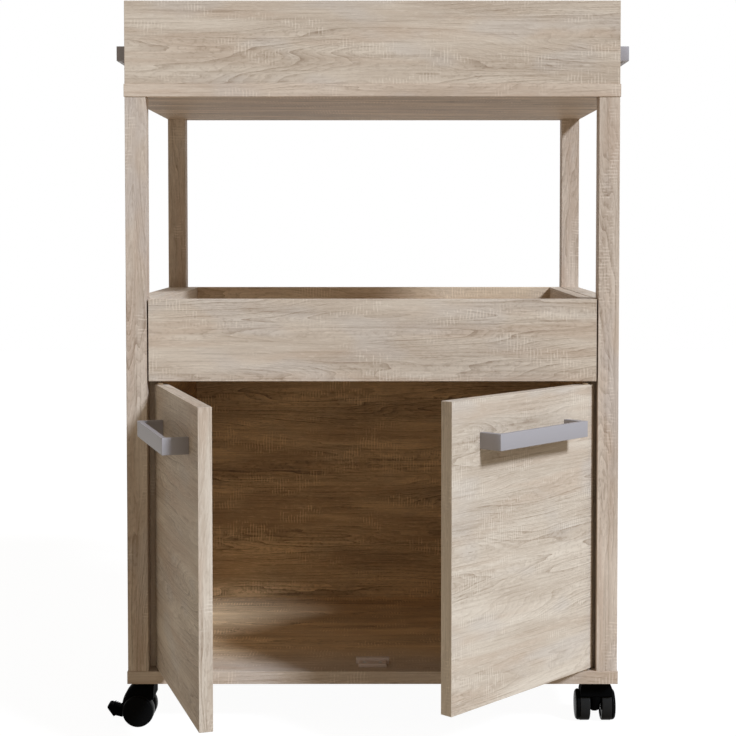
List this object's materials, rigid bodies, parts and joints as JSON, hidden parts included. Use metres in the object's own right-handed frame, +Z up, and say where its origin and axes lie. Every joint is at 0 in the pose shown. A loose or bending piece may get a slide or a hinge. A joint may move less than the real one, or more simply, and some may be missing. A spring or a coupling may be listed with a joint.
{
  "type": "rolling bar cabinet",
  "caption": "Wood-decor serving cabinet on twin-wheel casters with a rimmed top tray, an open bay over a middle tray, a cupboard with swing doors and bar handles.",
  "frame": {"origin": "floor level, at the middle of the standing part's box with both doors ajar as in the picture", "axes": "+Z up, the doors face -Y, +X to the right of a person facing the doors"},
  "size_m": [0.682, 0.679, 0.918],
  "materials": {
    "oak_decor": "matt pale sawn-oak decor laminate on board",
    "dowel_wood": "plain hardwood",
    "handle_metal": "satin silver",
    "zinc_steel": "zinc plated",
    "grey_plastic": "fine matt",
    "dark_plastic": "smooth",
    "black_plastic": "semi-gloss moulded",
    "wheel_plastic": "semi-gloss moulded, worn tread"
  },
  "bodies": {
    "cabinet": {"back_panel": "oak_decor", "base_board": "oak_decor", "carcass_side_left": "oak_decor", "carcass_side_right": "oak_decor", "caster_inserts": "zinc_steel", "caster_stems": "zinc_steel", "door_stop": "grey_plastic", "door_stop_screws": "zinc_steel", "frame_screws": "zinc_steel", "pivot_plate_screws": "zinc_steel", "pivot_plates_lower": "zinc_steel", "pivot_plates_upper": "zinc_steel", "post_front_left": "oak_decor", "post_front_right": "oak_decor", "post_rear_left": "oak_decor", "post_rear_right": "oak_decor", "push_handle_left": "handle_metal", "push_handle_right": "handle_metal", "push_handle_screws": "zinc_steel", "rim_back": "oak_decor", "rim_front": "oak_decor", "rim_left": "oak_decor", "rim_right": "oak_decor", "side_rail_left": "oak_decor", "side_rail_right": "oak_decor", "top_board": "oak_decor", "tray_floor": "oak_decor", "tray_front": "oak_decor", "tray_side_left": "oak_decor", "tray_side_right": "oak_decor", "wood_dowels": "dowel_wood"},
    "door_left": {"door_left": "oak_decor", "door_handle_left": "handle_metal", "door_handle_screws_left": "zinc_steel", "pivot_bushes_left": "dark_plastic"},
    "door_right": {"door_right": "oak_decor", "door_handle_right": "handle_metal", "door_handle_screws_right": "zinc_steel", "pivot_bushes_right": "dark_plastic"},
    "caster_front_left": {"caster_hood_front_left": "black_plastic", "caster_axle_front_left": "zinc_steel"},
    "wheel_a_front_left": {"caster_wheel_a_front_left": "wheel_plastic"},
    "wheel_b_front_left": {"caster_wheel_b_front_left": "wheel_plastic"},
    "brake_lever_front_left": {"brake_lever_front_left": "black_plastic"},
    "caster_front_right": {"caster_hood_front_right": "black_plastic", "caster_axle_front_right": "zinc_steel"},
    "wheel_a_front_right": {"caster_wheel_a_front_right": "wheel_plastic"},
    "wheel_b_front_right": {"caster_wheel_b_front_right": "wheel_plastic"},
    "brake_lever_front_right": {"brake_lever_front_right": "black_plastic"},
    "caster_rear_left": {"caster_hood_rear_left": "black_plastic", "caster_axle_rear_left": "zinc_steel"},
    "wheel_a_rear_left": {"caster_wheel_a_rear_left": "wheel_plastic"},
    "wheel_b_rear_left": {"caster_wheel_b_rear_left": "wheel_plastic"},
    "caster_rear_right": {"caster_hood_rear_right": "black_plastic", "caster_axle_rear_right": "zinc_steel"},
    "wheel_a_rear_right": {"caster_wheel_a_rear_right": "wheel_plastic"},
    "wheel_b_rear_right": {"caster_wheel_b_rear_right": "wheel_plastic"}
  },
  "joints": [
    {"name": "door_swing_left", "type": "hinge", "parent": "cabinet", "child": "door_left", "pos_m": [-0.268, -0.08403, 0.2559], "axis": [0, 0, -1], "range_deg": [-72.1, 22.9]},
    {"name": "door_swing_right", "type": "hinge", "parent": "cabinet", "child": "door_right", "pos_m": [0.268, -0.08403, 0.2559], "axis": [0, 0, 1], "range_deg": [-47.3, 47.7]},
    {"name": "caster_swivel_front_left", "type": "hinge", "parent": "cabinet", "child": "caster_front_left", "pos_m": [-0.2865, -0.06603, 0.0565], "axis": [0, 0, 1], "continuous": true},
    {"name": "wheel_spin_a_front_left", "type": "hinge", "parent": "caster_front_left", "child": "wheel_a_front_left", "pos_m": [-0.2983, -0.06603, 0.02], "axis": [0, -1, 0], "continuous": true},
    {"name": "wheel_spin_b_front_left", "type": "hinge", "parent": "caster_front_left", "child": "wheel_b_front_left", "pos_m": [-0.2983, -0.06603, 0.02], "axis": [0, -1, 0], "continuous": true},
    {"name": "brake_press_front_left", "type": "hinge", "parent": "caster_front_left", "child": "brake_lever_front_left", "pos_m": [-0.3153, -0.06603, 0.02], "axis": [0, -1, 0], "range_deg": [0, 16]},
    {"name": "caster_swivel_front_right", "type": "hinge", "parent": "cabinet", "child": "caster_front_right", "pos_m": [0.2865, -0.06603, 0.0565], "axis": [0, 0, 1], "continuous": true},
    {"name": "wheel_spin_a_front_right", "type": "hinge", "parent": "caster_front_right", "child": "wheel_a_front_right", "pos_m": [0.2865, -0.05423, 0.02], "axis": [-1, 0, 0], "continuous": true},
    {"name": "wheel_spin_b_front_right", "type": "hinge", "parent": "caster_front_right", "child": "wheel_b_front_right", "pos_m": [0.2865, -0.05423, 0.02], "axis": [-1, 0, 0], "continuous": true},
    {"name": "brake_press_front_right", "type": "hinge", "parent": "caster_front_right", "child": "brake_lever_front_right", "pos_m": [0.2865, -0.03723, 0.02], "axis": [-1, 0, 0], "range_deg": [0, 16]},
    {"name": "caster_swivel_rear_left", "type": "hinge", "parent": "cabinet", "child": "caster_rear_left", "pos_m": [-0.2865, 0.31497, 0.0565], "axis": [0, 0, 1], "continuous": true},
    {"name": "wheel_spin_a_rear_left", "type": "hinge", "parent": "caster_rear_left", "child": "wheel_a_rear_left", "pos_m": [-0.28246, 0.30388, 0.02], "axis": [0.9397, 0.342, 0], "continuous": true},
    {"name": "wheel_spin_b_rear_left", "type": "hinge", "parent": "caster_rear_left", "child": "wheel_b_rear_left", "pos_m": [-0.28246, 0.30388, 0.02], "axis": [0.9397, 0.342, 0], "continuous": true},
    {"name": "caster_swivel_rear_right", "type": "hinge", "parent": "cabinet", "child": "caster_rear_right", "pos_m": [0.2865, 0.31497, 0.0565], "axis": [0, 0, 1], "continuous": true},
    {"name": "wheel_spin_a_rear_right", "type": "hinge", "parent": "caster_rear_right", "child": "wheel_a_rear_right", "pos_m": [0.28345, 0.30357, 0.02], "axis": [0.9659, -0.2588, 0], "continuous": true},
    {"name": "wheel_spin_b_rear_right", "type": "hinge", "parent": "caster_rear_right", "child": "wheel_b_rear_right", "pos_m": [0.28345, 0.30357, 0.02], "axis": [0.9659, -0.2588, 0], "continuous": true}
  ]
}
